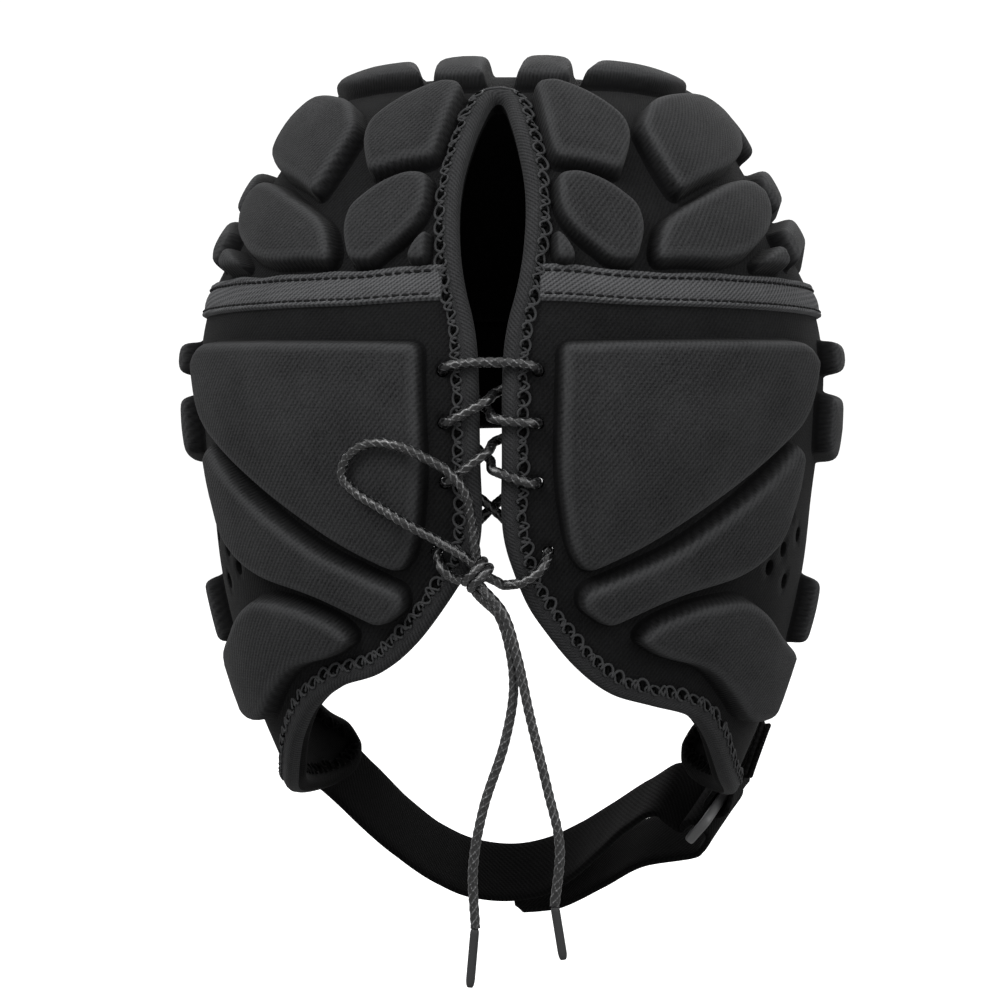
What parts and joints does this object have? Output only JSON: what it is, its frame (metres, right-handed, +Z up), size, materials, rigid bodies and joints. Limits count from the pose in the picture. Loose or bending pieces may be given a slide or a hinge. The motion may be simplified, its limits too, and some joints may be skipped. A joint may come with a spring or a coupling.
{
  "type": "scrum cap",
  "caption": "Padded sports cap in worn form: soft shell with raised foam pads, a laced slot at the back, ear guards that end in tabs, and a folded chin strap.",
  "frame": {"origin": "inside of the crown at its top, where the wearer's head touches it", "axes": "+X the wearer's right, +Y towards the face, +Z up"},
  "size_m": [0.1938, 0.2211, 0.2603],
  "materials": {
    "shell_fabric": "matt knitted fabric",
    "pad_fabric": "matt knitted fabric over foam",
    "seam_tape": "ribbed knit tape",
    "edging": "folded knit tape with overlock stitches",
    "lace": "braided, slightly glossy",
    "lace_tip": "smooth",
    "strap_webbing": "matt",
    "strap_ring": "satin"
  },
  "bodies": {
    "root": {"crown_shell": "shell_fabric", "guard_shell": "shell_fabric", "seam_tape": "seam_tape", "back_binding": "edging", "face_binding": "edging", "pad_inner_upper_left": "pad_fabric", "pad_inner_upper_right": "pad_fabric", "pad_inner_lower_left": "pad_fabric", "pad_inner_lower_right": "pad_fabric", "pad_outer_upper_left": "pad_fabric", "pad_outer_upper_right": "pad_fabric", "pad_outer_lower_left": "pad_fabric", "pad_outer_lower_right": "pad_fabric", "pad_corner_left": "pad_fabric", "pad_corner_right": "pad_fabric", "pad_slot_side_left": "pad_fabric", "pad_slot_side_right": "pad_fabric", "pad_top_inner_left": "pad_fabric", "pad_top_inner_right": "pad_fabric", "pad_top_outer_left": "pad_fabric", "pad_top_outer_right": "pad_fabric", "pad_side_top_left": "pad_fabric", "pad_side_top_right": "pad_fabric", "pad_side_upper_left": "pad_fabric", "pad_side_upper_right": "pad_fabric", "pad_side_lower_left": "pad_fabric", "pad_side_lower_right": "pad_fabric", "pad_front_top_left": "pad_fabric", "pad_front_top_right": "pad_fabric", "pad_front_inner_left": "pad_fabric", "pad_front_inner_right": "pad_fabric", "pad_front_outer_left": "pad_fabric", "pad_front_outer_right": "pad_fabric", "pad_front_low_left": "pad_fabric", "pad_front_low_right": "pad_fabric", "pad_back_left": "pad_fabric", "pad_back_right": "pad_fabric", "pad_strip_left": "pad_fabric", "pad_strip_right": "pad_fabric", "pad_lobe_left": "pad_fabric", "pad_lobe_right": "pad_fabric", "pad_cheek_left": "pad_fabric", "pad_cheek_right": "pad_fabric", "pad_temple_upper_left": "pad_fabric", "pad_temple_upper_right": "pad_fabric", "pad_temple_lower_left": "pad_fabric", "pad_temple_lower_right": "pad_fabric", "pad_brow_left": "pad_fabric", "pad_brow_right": "pad_fabric", "lace": "lace", "lace_knot": "lace", "lace_loop": "lace", "lace_end_left": "lace", "lace_end_right": "lace", "aglet_left": "lace_tip", "aglet_right": "lace_tip", "chin_strap": "strap_webbing", "strap_keeper": "strap_webbing", "strap_ring": "strap_ring"}
  },
  "joints": []
}
